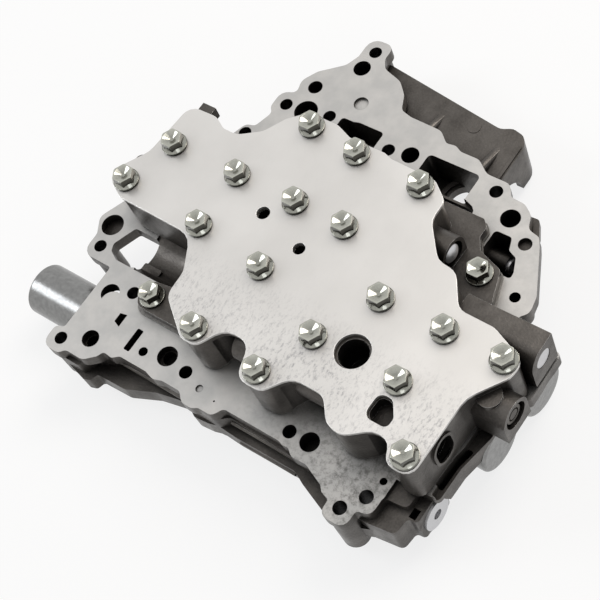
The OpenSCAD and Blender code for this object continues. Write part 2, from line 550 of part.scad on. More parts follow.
module upper_body() {
    z = upper_z;
    color(cast_grey) difference() {
        union() {
            difference() {
                upper_solid();
                front_pockets();
            }
            bar_x(-2, valve_mouth_x[0], valve_y(0), deck_z + valve_z, housing_r);
        }
        // valve bores with their mouths, ports and clip slots
        for (i = [0:3]) {
            x = valve_mouth_x[i];
            out_x(x, valve_y(i), deck_z + valve_z) valve_hollow(plug_recess[i]);
            bar_x(x - mouth_depth[i], x + 1, valve_y(i), deck_z + valve_z, bore_r + mouth_step[i]);
            clip_slot(x - plug_recess[i], valve_y(i), z - 1, deck_z + valve_z);
            for (k = [0:land_count - 2])
                translate([port_x(i, k), valve_y(i), z - 1]) cylinder(h = deck_z + valve_z - z, r = 2.2);
        }
        front_lip(bore_r + 0.7, valve_mouth_x[0] - 1, valve_mouth_x[0] + 4);
        // bolt and dowel holes, ball pockets, sight holes
        for (p = cover_bolt_at)
            drill(p.x, p.y, z + upper_h, cover_bolt_len - plate_t - gasket_t + 1.5, bolt_d/2 + 0.03);
        for (p = foot_bolt_at)
            translate([p.x, p.y, z - 1]) cylinder(h = foot_h + 40, r = bolt_d/2 + 0.3);
        for (p = foot_bolt_at)
            translate([p.x, p.y, z + foot_h]) cylinder(h = 40, r = bolt_flange_d/2 + 1);
        for (p = dowel_at)
            translate([p.x, p.y, z - 1]) cylinder(h = dowel_len/2 - separator_t + 1.15, r = dowel_d/2 + 0.02);
        for (p = ball_at)
            translate([p.x, p.y, z - 1]) cylinder(h = 8.5, r = 3.5);
        drill(-26.4, -1.4, z + upper_h, 10, 3.3);
        drill(1.8, -9.7, z + upper_h, 12, 3);
        drill(56.4, -42.2, z + upper_h, 20, 7.6);
        slab(inset(sight_corner, 0.5), z + upper_h - 6.4, z + upper_h + 1);
        // channels on top, closed by the gasket
        for (channel = [[[-80, -12, 3], [-62, -12, 3], [-62, 0, 3], [-38, 0, 3], [-38, 4, 2], [-80, 4, 3]],
            [[-30, 22, 3], [24, 22, 3], [24, 36, 3], [-30, 36, 3]]])
            slab(channel, z + upper_h - 5, z + upper_h + 1);
        slab([[-78, 16, 3], [-42, 16, 3], [-42, 30, 3], [-60, 24, 3]], z - 1, z + 8);
    }
}

module lower_body() {
    color(cast_grey) difference() {
        slab(inset(core_outline, 1), 0, lower_body_t);
        for (p = lower_bolt_at) {
            translate([p.x, p.y, -1]) cylinder(h = lower_body_t + 2, r = lower_bolt_d/2 + 0.3);
            translate([p.x, p.y, -1]) cylinder(h = 1 + lower_body_t - lower_web_t, r = lower_bolt_d + 0.5);
        }
        // channels closed by the separator plate
        slab([[-70, 8, 3], [-30, 8, 3], [-30, 24, 3], [-70, 24, 3]], lower_body_t - 3, lower_body_t + 1);
        slab([[-10, -36, 3], [50, -36, 3], [50, -28, 3], [-10, -28, 3]], lower_body_t - 3, lower_body_t + 1);
    }
}

module sheet_holes(z) {
    for (p = cover_bolt_at)
        translate([p.x, p.y, z - 1]) cylinder(h = 5, r = bolt_d/2 + 0.3);
    translate([-26.4, -1.4, z - 1]) cylinder(h = 5, r = 3.5);
    translate([1.8, -9.7, z - 1]) cylinder(h = 5, r = 3.15);
    translate([56.4, -42.1, z - 1]) cylinder(h = 5, r = sight_d/2);
    slab(sight_corner, z - 1, z + 4);
}

module cover_plate() {
    color(plate_grey) difference() {
        slab(plate_outline, plate_z, plate_top);
        sheet_holes(plate_z);
    }
}

module cover_gasket() {
    color(gasket_grey) difference() {
        slab(inset(plate_outline, 0.5), gasket_z, plate_z);
        sheet_holes(gasket_z);
    }
}

module separator_plate() {
    color(steel) difference() {
        union() {
            difference() {
                slab(inset(plate_outline, 1.2), deck_z, upper_z);
                translate([0, 0, -1]) front_pockets();
            }
            slab(inset(foot_left, -1.2), deck_z, upper_z);
            slab(inset(foot_right, -0.6), deck_z, upper_z);
        }
        for (p = foot_bolt_at)
            drill(p.x, p.y, upper_z, separator_t + 1, bolt_d/2 + 0.3);
        for (p = dowel_at)
            drill(p.x, p.y, upper_z, separator_t + 1, dowel_d/2 + 0.1);
        for (p = ball_at)
            drill(p.x, p.y, upper_z, separator_t + 1, 1.8);
        for (i = [0:3], k = [0:land_count - 2])
            drill(port_x(i, k), valve_y(i), upper_z, separator_t + 1, 1.5);
        slab(window_rim, deck_z - 1, upper_z + 1);
    }
}

module lower_separator() {
    color(steel) difference() {
        slab(inset(core_outline, 0.6), lower_body_t, lower_body_t + lower_separator_t);
        for (p = lower_bolt_at)
            translate([p.x, p.y, 0]) cylinder(h = 20, r = lower_bolt_d/2 + 0.3);
    }
}

module cover_bolts() {
    color(zinc)
        for (p = cover_bolt_at)
            translate([p.x, p.y, plate_top]) flange_bolt(cover_bolt_len);
}

module foot_bolts() {
    color(zinc)
        for (p = foot_bolt_at)
            translate([p.x, p.y, upper_z + foot_h]) flange_bolt(foot_bolt_len);
}

module lower_bolts() {
    color(zinc)
        for (p = lower_bolt_at)
            translate([p.x, p.y, lower_body_t - lower_web_t - lower_head_h]) {
                cylinder(h = lower_head_h, r = lower_bolt_d*0.9, $fn = 6);
                cylinder(h = lower_head_h + lower_bolt_len, r = lower_bolt_d/2);
            }
}

module dowel_pins() {
    color(steel)
        for (p = dowel_at)
            translate([p.x, p.y, deck_z - dowel_len/2]) cylinder(h = dowel_len, r = dowel_d/2);
}

module check_balls() {
    ball_r = 2.8;
    color(steel)
        for (p = ball_at)
            translate([p.x, p.y, upper_z + sqrt(ball_r*ball_r - 1.8*1.8) + 0.03]) sphere(r = ball_r);
}

module gallery_plug() {
    color(steel)
        out_x(gallery_x, gallery_y, deck_z - gallery_drop) {
            translate([0, 0, -8]) cylinder(h = 8, r = gallery_r);
            round_end(gallery_r, gallery_r*1.5);
        }
}

// Spool valve hanging from the origin along -Z; its stem guides the spring and ends the stroke
module spool(length, stem) {
    land = length/8;
    color(steel) {
        translate([0, 0, -length]) cylinder(h = length, r = neck_r);
        for (k = [0:land_count - 2])
            translate([0, 0, -land*(2*k + 1)]) cylinder(h = land, r = bore_r - run_fit);
        translate([0, 0, -length]) cylinder(h = 2*land, r = bore_r - run_fit);
        translate([0, 0, -length - stem]) cylinder(h = stem + eps, r = spring_r - valve_wire/2 - 0.4);
    }
}

// A rounded end on a bar whose flat end is at the origin
module round_end(r, ball_r) {
    rise = ball_r - sqrt(ball_r*ball_r - r*r);
    intersection() {
        translate([0, 0, -1]) cylinder(h = rise + 2, r = r);
        translate([0, 0, rise - ball_r]) sphere(r = ball_r);
    }
}

// End plug from the origin along -Z, necked for its clip; its head stands out of its seat
module end_plug(ringed, head = 0) {
    color(steel) difference() {
        translate([0, 0, -plug_len]) cylinder(h = plug_len + head, r = bore_r - 0.02);
        translate([0, 0, -clip_x - clip_t/2 - clip_gap]) difference() {
            cylinder(h = clip_t + 2*clip_gap, r = bore_r + 1);
            translate([0, 0, -1]) cylinder(h = clip_t + 3, r = groove_neck_r);
        }
        if (ringed)
            translate([0, 0, head - 0.7]) difference() {
                cylinder(h = 1, r = bore_r*0.7);
                translate([0, 0, -1]) cylinder(h = 3, r = bore_r*0.54);
            }
    }
}

// Retaining clip: a fork that stands in the plug's neck; foot is its lower end, z the bore's axis
module fork_clip(x, y, foot, z) {
    top = z + bore_r*0.7;
    fork_r = groove_neck_r + clip_gap;
    color(spring_steel) translate([x - clip_t/2, y, foot]) difference() {
        translate([0, -clip_w/2, 0]) cube([clip_t, clip_w, top - foot]);
        translate([-1, -fork_r, z - foot]) cube([clip_t + 2, 2*fork_r, 50]);
        translate([-1, 0, z - foot]) rotate([0, 90, 0]) cylinder(h = clip_t + 2, r = fork_r);
    }
}

module upper_spool(i) {
    out_x(spool_x(i), valve_y(i), deck_z + valve_z)
        spool(spool_len, valve_spring_len - spool_travel - end_gap);
}

module upper_spring(i) {
    color(spring_steel)
        out_x(valve_mouth_x[i] - bore_depth(plug_recess[i]) + eps, valve_y(i), deck_z + valve_z)
            coil_spring(spring_r, valve_wire, valve_spring_len - 2*eps, 7);
}

module upper_plug(i) {
    out_x(valve_mouth_x[i] - plug_recess[i], valve_y(i), deck_z + valve_z) {
        end_plug(plug_recess[i] > 2, plug_head[i]);
        if (i == 3)
            color(steel) round_end(bore_r - 0.02, dome_r);
    }
}

module upper_clip(i) {
    fork_clip(valve_mouth_x[i] - plug_recess[i] - clip_x, valve_y(i), upper_z, deck_z + valve_z);
}

module modulator_valve() {
    out_x(modulator_mouth_x - modulator_recess - plug_len - end_gap, front_y, deck_z - axis_drop)
        spool(spool_len, valve_spring_len - spool_travel - end_gap);
}

module modulator_spring() {
    color(spring_steel)
        out_x(modulator_mouth_x - bore_depth(modulator_recess) + eps, front_y, deck_z - axis_drop)
            coil_spring(spring_r, valve_wire, valve_spring_len - 2*eps, 7);
}

module modulator_plug() {
    out_x(modulator_mouth_x - modulator_recess, front_y, deck_z - axis_drop) difference() {
        union() {
            end_plug(false, modulator_recess);
            color(steel) translate([0, 0, modulator_recess]) cylinder(h = flange_disc_t, r = flange_disc_r);
        }
        color(steel) translate([0, 0, -3]) cylinder(h = 8, r = bore_r*0.54);
    }
}

module modulator_clip() {
    axis_z = deck_z - axis_drop;
    fork_clip(modulator_mouth_x - modulator_recess - clip_x, front_y, axis_z - housing_r + 1, axis_z);
}

module pilot_valve() {
    out_x(pilot_bore_x + end_gap, pilot_y, deck_z - axis_drop, -1)
        spool(pilot_spool_len, pilot_spring_len - pilot_travel - end_gap);
}

module pilot_spring() {
    color(spring_steel)
        out_x(pilot_bore_end - eps, pilot_y, deck_z - axis_drop, -1)
            coil_spring(spring_r, valve_wire, pilot_spring_len - 2*eps, 6);
}

// Solenoid pieces: the mounting face at the origin, the can towards +Z
module can() {
    r = can_d/2;
    round_r = 1.6;
    color(steel) rotate_extrude() polygon(concat(
        [[r - can_wall, 0], [r, 0]],
        [for (a = [0:15:90]) [r - round_r + round_r*cos(a), can_len - round_r + round_r*sin(a)]],
        [[0, can_len], [0, can_len - can_wall], [r - can_wall, can_len - can_wall]]));
}

module coil() {
    r = can_d/2 - can_wall - 0.1;
    color(copper) translate([0, 0, pole_t]) difference() {
        cylinder(h = coil_len, r = r);
        translate([0, 0, -1]) cylinder(h = coil_len + 2, r = coil_inner_r);
    }
}

module nose() {
    color(plate_grey) difference() {
        union() {
            cylinder(h = pole_t, r = can_d/2 - can_wall - 0.1);
            translate([0, 0, -nose_len]) cylinder(h = nose_len + eps, r = nose_r);
        }
        translate([0, 0, -nose_len - 1]) cylinder(h = nose_len + pole_t + 2, r = plunger_pin_r + run_fit);
        for (z = [-nose_len*0.25, -nose_len*0.75])
            translate([0, 0, z - 0.9]) difference() {
                cylinder(h = 1.8, r = nose_r + 1);
                translate([0, 0, -1]) cylinder(h = 4, r = nose_r - 2*seal_r - 0.05);
            }
        translate([0, 0, -nose_len*0.5]) rotate([90, 0, 0])
            cylinder(h = 2*nose_r + 2, r = 1.6, center = true);
    }
}

module seals() {
    color(seal_black)
        for (z = [-nose_len*0.25, -nose_len*0.75])
            translate([0, 0, z]) rotate_extrude()
                translate([nose_r - seal_r - 0.01, 0]) circle(r = seal_r, $fn = 24);
}

// The plunger rests towards the nose, and its spring pushes it there from the can's end
module plunger() {
    color(steel) {
        translate([0, 0, armature_z]) cylinder(h = armature_len, r = coil_inner_r - run_fit);
        translate([0, 0, -nose_len + 0.2]) cylinder(h = nose_len - 0.2 + armature_z + eps, r = plunger_pin_r);
    }
}

module return_spring() {
    foot = armature_z + armature_len;
    color(spring_steel) translate([0, 0, foot + eps])
        coil_spring(3.4, return_wire, can_len - can_wall - foot - 2*eps, 4);
}

module pilot_seat() {
    out_x(pilot_face_x, pilot_y, deck_z - axis_drop, -1) children();
}

module lockup_seat() {
    out_x(lockup_face_x, lockup_y, deck_z - right_drop) children();
}

module shift_seat() {
    out_x(shift_face_x, shift_y, deck_z - right_drop) children();
}

main_body();
upper_body();
lower_body();
cover_plate();
cover_gasket();
separator_plate();
lower_separator();
cover_bolts();
foot_bolts();
lower_bolts();
dowel_pins();
check_balls();
gallery_plug();
upper_spool(0);  // regulator_valve
upper_spring(0);  // regulator_spring
upper_plug(0);  // regulator_plug
upper_clip(0);  // regulator_clip
upper_spool(1);  // shift_valve
upper_spring(1);  // shift_spring
upper_plug(1);  // shift_plug
upper_clip(1);  // shift_clip
upper_spool(2);  // lockup_valve
upper_spring(2);  // lockup_spring
upper_plug(2);  // lockup_plug
upper_clip(2);  // lockup_clip
upper_spool(3);  // relay_valve
upper_spring(3);  // relay_spring
upper_plug(3);  // relay_plug
upper_clip(3);  // relay_clip
modulator_valve();
modulator_spring();
modulator_plug();
modulator_clip();
pilot_valve();
pilot_spring();
pilot_seat() can();  // pilot_can
pilot_seat() coil();  // pilot_coil
pilot_seat() plunger();  // pilot_plunger
pilot_seat() return_spring();  // pilot_return_spring
pilot_seat() nose();  // pilot_nose
pilot_seat() seals();  // pilot_seals
lockup_seat() can();  // lockup_can
lockup_seat() coil();  // lockup_coil
lockup_seat() plunger();  // lockup_plunger
lockup_seat() return_spring();  // lockup_return_spring
lockup_seat() nose();  // lockup_nose
lockup_seat() seals();  // lockup_seals
shift_seat() can();  // shift_can
shift_seat() coil();  // shift_coil
shift_seat() plunger();  // shift_plunger
shift_seat() return_spring();  // shift_return_spring
shift_seat() nose();  // shift_nose
shift_seat() seals();  // shift_seals
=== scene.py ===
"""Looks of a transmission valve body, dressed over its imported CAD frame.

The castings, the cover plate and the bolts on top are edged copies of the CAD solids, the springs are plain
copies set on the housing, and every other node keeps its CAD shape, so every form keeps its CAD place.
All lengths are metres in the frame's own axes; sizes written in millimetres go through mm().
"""

from __future__ import annotations

import json
import logging
import math
from dataclasses import dataclass, field
from enum import Enum
from typing import Any, Iterable

import bpy
from mathutils import Matrix, Vector

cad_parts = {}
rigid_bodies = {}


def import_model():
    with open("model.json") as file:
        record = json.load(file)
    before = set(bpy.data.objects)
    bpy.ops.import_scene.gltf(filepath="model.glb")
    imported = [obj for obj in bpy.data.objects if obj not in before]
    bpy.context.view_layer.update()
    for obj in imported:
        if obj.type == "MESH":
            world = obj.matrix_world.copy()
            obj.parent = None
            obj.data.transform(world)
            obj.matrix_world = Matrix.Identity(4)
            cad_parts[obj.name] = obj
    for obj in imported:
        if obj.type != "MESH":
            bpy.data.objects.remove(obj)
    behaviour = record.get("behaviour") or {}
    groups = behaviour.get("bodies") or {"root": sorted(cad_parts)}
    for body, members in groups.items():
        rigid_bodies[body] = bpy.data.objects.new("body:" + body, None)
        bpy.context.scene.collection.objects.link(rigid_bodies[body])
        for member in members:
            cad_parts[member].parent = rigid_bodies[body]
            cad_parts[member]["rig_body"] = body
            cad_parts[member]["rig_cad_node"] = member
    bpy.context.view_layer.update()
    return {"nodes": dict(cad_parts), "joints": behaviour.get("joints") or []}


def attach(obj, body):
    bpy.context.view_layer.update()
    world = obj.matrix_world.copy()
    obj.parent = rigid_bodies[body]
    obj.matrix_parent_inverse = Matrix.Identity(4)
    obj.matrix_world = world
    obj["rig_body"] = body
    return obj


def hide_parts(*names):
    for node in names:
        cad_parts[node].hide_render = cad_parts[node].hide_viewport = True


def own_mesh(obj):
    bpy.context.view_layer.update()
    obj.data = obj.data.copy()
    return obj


LOG = logging.getLogger("valve_body")
HOUSING = "housing"
DECK_Z_MM = 38.0
OCCLUSION_SAMPLES = 6
# bevelled faces take the second material slot of an edged copy
EDGE_SLOT = 1


class Grain(Enum):
    """How a metal's fine lines run: round the bores' axis, or with no direction."""

    RINGS = 0.06
    EVEN = 1.0


def mm(value: float) -> float:
    """A length in metres from one in millimetres."""
    return value * 0.001


def per_mm(size_mm: float) -> float:
    """A texture scale whose pattern repeats about every size_mm millimetres."""
    return 1000.0 / size_mm


def linear(code: str) -> tuple[float, float, float, float]:
    """Turns an sRGB hex colour to linear.

    Args:
        code: colour as "#rrggbb".

    Returns:
        The linear red, green, blue and an alpha of one.
    """
    parts = [int(code[i : i + 2], 16) / 255 for i in (1, 3, 5)]
    r, g, b = [c / 12.92 if c <= 0.04045 else ((c + 0.055) / 1.055) ** 2.4 for c in parts]
    return (r, g, b, 1.0)


def add(
    tree: bpy.types.NodeTree,
    kind: str,
    inputs: dict[Any, Any] | None = None,
    stops: Iterable[tuple[float, str]] = (),
    **settings: Any,
) -> bpy.types.Node:
    """Adds a node with its settings, values and links.

    Args:
        tree: the node tree.
        kind: the node's type name, without its ShaderNode prefix.
        inputs: a value, or a socket to link, for each input by name or number.
        stops: places and hex colours of a colour ramp.
        **settings: the node's own properties.

    Returns:
        The new node.
    """
    made = tree.nodes.new(f"ShaderNode{kind}")
    for name, value in settings.items():
        setattr(made, name, value)
    for name, value in (inputs or {}).items():
        if isinstance(value, bpy.types.NodeSocket):
            tree.links.new(value, made.inputs[name])
        else:
            made.inputs[name].default_value = value
    for index, (place, code) in enumerate(stops):
        steps = made.color_ramp.elements
        step = steps[index] if index < len(steps) else steps.new(place)
        step.position = place
        step.color = linear(code)
    return made


@dataclass(frozen=True)
class Finish:
    """A surface finish: its name and the way its nodes are laid."""

    name: str

    def lay(self, tree: bpy.types.NodeTree, shader: bpy.types.Node, place: bpy.types.NodeSocket) -> None:
        """Lays the finish's nodes on the shader.

        Args:
            tree: the material's node tree.
            shader: the shader that takes the sockets.
            place: the object coordinates.
        """
        raise NotImplementedError

    def material(self) -> bpy.types.Material:
        """Makes the finish's material, once.

        Returns:
            The material.
        """
        found = bpy.data.materials.get(self.name)
        if found is not None:
            return found
        made = bpy.data.materials.new(self.name)
        made.use_nodes = True
        tree = made.node_tree
        tree.nodes.clear()
        shader = add(tree, "BsdfPrincipled")
        add(tree, "OutputMaterial", {"Surface": shader.outputs["BSDF"]})
        self.lay(tree, shader, add(tree, "TexCoord").outputs["Object"])
        return made


@dataclass(frozen=True)
class DieCast(Finish):
    """Die-cast aluminium, dulled by the die.

    It shows a dark warm grey with a fine sand-like skin, and painted shade in its corners and recesses. Where
    machined_z_mm is set, level faces down to rough_mm below that height are milled: paler, smooth, and
    stained at the front corner.
    """

    dark: str = "#413e3b"
    pale: str = "#625e5a"
    # near-black colour of the painted shade in corners and recesses
    painted_shade: str = "#0d0b0a"
    milled_dark: str = "#b0afad"
    milled_pale: str = "#bebcb9"
    stain: str = "#5f5e5b"
    machined_z_mm: float | None = None
    rough_mm: float = 2.1
    skin_mm: float = 1.1
    cloud_mm: float = 11.0
    fleck_mm: float = 3.4
    corner_mm: float = 17.0
    skin_bump: float = 0.45
    milled_bump: float = 0.04
    metallic: float = 0.8

    def lay(self, tree: bpy.types.NodeTree, shader: bpy.types.Node, place: bpy.types.NodeSocket) -> None:
        """Lays the cast skin, the painted shade in its corners and the milled face where there is one."""
        slow = {"Vector": place, "Scale": per_mm(self.cloud_mm), "Detail": 5.0}
        cloud = add(tree, "TexNoise", slow).outputs[0]
        fine = {"Vector": place, "Scale": per_mm(self.skin_mm), "Detail": 4.0}
        skin = add(tree, "TexNoise", fine).outputs[0]
        tone = add(tree, "Mix", {0: 0.3, 2: cloud, 3: skin}).outputs[0]
        colour = add(tree, "ValToRGB", {0: tone}, [(0.3, self.dark), (0.7, self.pale)]).outputs[0]
        rough = add(tree, "MapRange", {0: tone, 1: 0.3, 2: 0.7, 3: 0.46, 4: 0.28}).outputs[0]
        bump = add(tree, "Bump", {"Strength": self.skin_bump, "Distance": mm(0.25), "Height": skin})
        if self.machined_z_mm is not None:
            mask = self.milled_mask(tree, place)
            milled, milled_rough = self.milled_face(tree, place)
            colour = add(tree, "Mix", {0: mask, 6: colour, 7: milled}, data_type="RGBA").outputs[2]
            rough = add(tree, "Mix", {0: mask, 2: rough, 3: milled_rough}).outputs[0]
            softer = add(tree, "MapRange", {0: mask, 3: self.skin_bump, 4: self.milled_bump}).outputs[0]
            tree.links.new(softer, bump.inputs["Strength"])
        # painted shade: ambient occlusion darkens corners and recesses towards that near-black colour
        reach = {"Distance": mm(self.corner_mm)}
        open_air = add(tree, "AmbientOcclusion", reach, samples=OCCLUSION_SAMPLES).outputs["AO"]
        unshaded = add(tree, "MapRange", {0: open_air, 1: 0.18, 2: 0.78}).outputs[0]
        corner_shaded = add(tree, "Mix", {0: unshaded, 6: linear(self.painted_shade), 7: colour}, data_type="RGBA").outputs[2]
        tree.links.new(corner_shaded, shader.inputs["Base Color"])
        tree.links.new(rough, shader.inputs["Roughness"])
        tree.links.new(bump.outputs["Normal"], shader.inputs["Normal"])
        shader.inputs["Metallic"].default_value = self.metallic

    def milled_face(
        self, tree: bpy.types.NodeTree, place: bpy.types.NodeSocket
    ) -> tuple[bpy.types.NodeSocket, bpy.types.NodeSocket]:
        """Smooth milling, faintly clouded, with dark flecks of stain towards the front corner at +X.

        Args:
            tree: the node tree.
            place: the object coordinates.

        Returns:
            The colour and roughness sockets.
        """
        slow = {"Vector": place, "Scale": per_mm(self.cloud_mm), "Detail": 4.0}
        cloud = add(tree, "TexNoise", slow).outputs[0]
        tones = [(0.35, self.milled_dark), (0.65, self.milled_pale)]
        clear = add(tree, "ValToRGB", {0: cloud}, tones).outputs[0]
        # the stain's flecks, drawn coarser than real so that they show
        fine = {"Vector": place, "Scale": per_mm(self.fleck_mm), "Detail": 9.0, "Roughness": 0.8}
        fleck = add(tree, "TexNoise", fine).outputs[0]
        dirt = add(tree, "MapRange", {0: fleck, 1: 0.46, 2: 0.64, 3: 0.2, 4: 1.0}).outputs[0]
        spot = add(tree, "SeparateXYZ", {"Vector": place}).outputs
        right = add(tree, "MapRange", {0: spot["X"], 1: mm(0), 2: mm(70), 3: 0.06, 4: 1.0}).outputs[0]
        front = add(tree, "MapRange", {0: spot["Y"], 1: mm(-45), 2: mm(-75), 3: 0.12, 4: 0.9}).outputs[0]
        corner = add(tree, "Math", {0: right, 1: front}, operation="MULTIPLY").outputs[0]
        share = add(tree, "Math", {0: corner, 1: dirt}, operation="MULTIPLY").outputs[0]
        colour = add(tree, "Mix", {0: share, 6: clear, 7: linear(self.stain)}, data_type="RGBA").outputs[2]
        rough = add(tree, "MapRange", {0: cloud, 1: 0.3, 2: 0.7, 3: 0.44, 4: 0.38}).outputs[0]
        return colour, rough

    def milled_mask(self, tree: bpy.types.NodeTree, place: bpy.types.NodeSocket) -> bpy.types.NodeSocket:
        """One where the face is near the milled height and level.

        Args:
            tree: the node tree.
            place: the object coordinates.

        Returns:
            The mask socket.
        """
        height = add(tree, "SeparateXYZ", {"Vector": place}).outputs["Z"]
        lowest = mm(self.machined_z_mm - self.rough_mm)
        level = add(tree, "MapRange", {0: height, 1: lowest - mm(0.1), 2: lowest}).outputs[0]
        facing = add(tree, "NewGeometry").outputs["True Normal"]
        up = add(tree, "SeparateXYZ", {"Vector": facing}).outputs["Z"]
        flat = add(tree, "MapRange", {0: up, 1: 0.75, 2: 0.88}).outputs[0]
        return add(tree, "Math", {0: level, 1: flat}, operation="MULTIPLY").outputs[0]


@dataclass(frozen=True)
class SatinSheet(Finish):
    """Cold-rolled steel sheet with a satin zinc coat.

    It is pale, smooth at the rear and etched by dark flecks at the front.
    """

    dark: str = "#cac8c5"
    pale: str = "#d3d1ce"
    etch: str = "#8b8a8c"
    etch_share: float = 0.95
    fleck_mm: float = 1.5
    patch_mm: float = 46.0
    etched_mm: tuple[float, float] = (-28.0, -54.0)
    rolling_turn: float = 0.6
    roughness: float = 0.4
    etched_roughness: float = 0.2
    metallic: float = 0.85

    def lay(self, tree: bpy.types.NodeTree, shader: bpy.types.Node, place: bpy.types.NodeSocket) -> None:
        """Lays the coat's slow clouds, the etched flecks and the rolled sheen."""
        slow = {"Vector": place, "Scale": per_mm(self.patch_mm), "Detail": 3.0}
        wide = add(tree, "TexNoise", slow).outputs[0]
        coat = add(tree, "ValToRGB", {0: wide}, [(0.36, self.dark), (0.64, self.pale)]).outputs[0]
        # short scratches along the sheet's rolling direction, drawn coarser than real so that they show
        along = {"Vector": place, "Rotation": (0, 0, self.rolling_turn), "Scale": (1.0, 0.5, 1.0)}
        rolled = add(tree, "Mapping", along).outputs[0]
        fine = {"Vector": rolled, "Scale": per_mm(self.fleck_mm), "Detail": 9.0, "Roughness": 0.82}
        fleck = add(tree, "TexNoise", fine).outputs[0]
        scratched = add(tree, "MapRange", {0: fleck, 1: 0.5, 2: 0.62}).outputs[0]
        depth = add(tree, "SeparateXYZ", {"Vector": place}).outputs["Y"]
        start, full = (mm(edge) for edge in self.etched_mm)
        front = add(tree, "MapRange", {0: depth, 1: start, 2: full, 3: 0.03, 4: self.etch_share}).outputs[0]
        patch = add(tree, "MapRange", {0: wide, 1: 0.36, 2: 0.6, 3: 1.0, 4: 0.55}).outputs[0]
        where = add(tree, "Math", {0: front, 1: patch}, operation="MULTIPLY").outputs[0]
        share = add(tree, "Math", {0: where, 1: scratched}, operation="MULTIPLY").outputs[0]
        colour = add(tree, "Mix", {0: share, 6: coat, 7: linear(self.etch)}, data_type="RGBA").outputs[2]
        dull = self.roughness + self.etched_roughness
        rough = add(tree, "MapRange", {0: share, 3: self.roughness, 4: dull}).outputs[0]
        bump = add(tree, "Bump", {"Strength": 0.05, "Distance": mm(0.08), "Height": fleck})
        tree.links.new(colour, shader.inputs["Base Color"])
        tree.links.new(rough, shader.inputs["Roughness"])
        tree.links.new(bump.outputs["Normal"], shader.inputs["Normal"])
        shader.inputs["Metallic"].default_value = self.metallic


@dataclass(frozen=True)
class TurnedMetal(Finish):
    """Turned, drawn or plated metal: fine lines or mottling, and a little blur in the gloss.

    One with painted shade is darkened at its foot by ambient occlusion, and that share of its upright faces
    is painted dark too.
    """

    dark: str = "#9d9d9b"
    pale: str = "#c4c4c1"
    # colour of the painted shade at the foot and on upright faces
    painted_shade: str = "#2c2b26"
    line_mm: float = 0.5
    roughness: float = 0.26
    spread: float = 0.05
    grain: Grain = Grain.RINGS
    paints_shade: bool = False
    foot_shade_mm: float = 8.0
    # share of painted shade on upright faces
    side_shade: float = 0.0

    def lay(self, tree: bpy.types.NodeTree, shader: bpy.types.Node, place: bpy.types.NodeSocket) -> None:
        """Lays the lines, the gloss and the painted shade."""
        across = self.grain.value
        turned = add(tree, "Mapping", {"Vector": place, "Scale": (1.0, across, across)}).outputs[0]
        fine = {"Vector": turned, "Scale": per_mm(self.line_mm), "Detail": 3.0}
        lines = add(tree, "TexNoise", fine).outputs[0]
        colour = add(tree, "ValToRGB", {0: lines}, [(0.3, self.dark), (0.7, self.pale)]).outputs[0]
        if self.paints_shade:
            colour = self.with_painted_shade(tree, colour)
        blur = {0: lines, 1: 0.3, 2: 0.7, 3: self.roughness + self.spread, 4: self.roughness - self.spread}
        tree.links.new(colour, shader.inputs["Base Color"])
        tree.links.new(add(tree, "MapRange", blur).outputs[0], shader.inputs["Roughness"])
        shader.inputs["Metallic"].default_value = 1.0

    def with_painted_shade(self, tree: bpy.types.NodeTree, colour: bpy.types.NodeSocket) -> bpy.types.NodeSocket:
        """Painted shade at the foot, from ambient occlusion, and painted shade on upright faces.

        Args:
            tree: the node tree.
            colour: the clean metal's colour.

        Returns:
            The colour socket with the painted shade on it.
        """
        painted_shade = linear(self.painted_shade)
        # painted shade: ambient occlusion darkens the foot and the hollows
        reach = {"Distance": mm(self.foot_shade_mm)}
        open_air = add(tree, "AmbientOcclusion", reach, samples=OCCLUSION_SAMPLES).outputs["AO"]
        unshaded = add(tree, "MapRange", {0: open_air, 1: 0.66, 2: 0.95}).outputs[0]
        foot_shaded = add(tree, "Mix", {0: unshaded, 6: painted_shade, 7: colour}, data_type="RGBA").outputs[2]
        # painted shade: upright faces are darkened by a set share
        facing = add(tree, "NewGeometry").outputs["True Normal"]
        up = add(tree, "SeparateXYZ", {"Vector": facing}).outputs["Z"]
        side_shaded = add(tree, "MapRange", {0: up, 1: 0.12, 2: 0.4, 3: self.side_shade, 4: 0.0}).outputs[0]
        return add(tree, "Mix", {0: side_shaded, 6: foot_shaded, 7: painted_shade}, data_type="RGBA").outputs[2]


@dataclass(frozen=True)
class Moulded(Finish):
    """Rubber, fibre sheet or enamelled wire: a soft, slightly uneven surface that isn't metal."""

    dark: str = "#1b1b1c"
    pale: str = "#2a2a2b"
    grain_mm: float = 0.8
    roughness: float = 0.6
    spread: float = 0.08

    def lay(self, tree: bpy.types.NodeTree, shader: bpy.types.Node, place: bpy.types.NodeSocket) -> None:
        """Lays the grain."""
        fine = {"Vector": place, "Scale": per_mm(self.grain_mm), "Detail": 4.0}
        grain = add(tree, "TexNoise", fine).outputs[0]
        colour = add(tree, "ValToRGB", {0: grain}, [(0.35, self.dark), (0.65, self.pale)]).outputs[0]
        blur = {0: grain, 1: 0.3, 2: 0.7, 3: self.roughness + self.spread, 4: self.roughness - self.spread}
        bump = add(tree, "Bump", {"Strength": 0.15, "Distance": mm(0.08), "Height": grain})
        tree.links.new(colour, shader.inputs["Base Color"])
        tree.links.new(add(tree, "MapRange", blur).outputs[0], shader.inputs["Roughness"])
        tree.links.new(bump.outputs["Normal"], shader.inputs["Normal"])


# die-cast aluminium: dark, slightly glossy skin; the deck is milled pale
CAST = DieCast("die_cast_aluminium")
CAST_MILLED = DieCast("die_cast_aluminium_milled_deck", machined_z_mm=DECK_Z_MM)
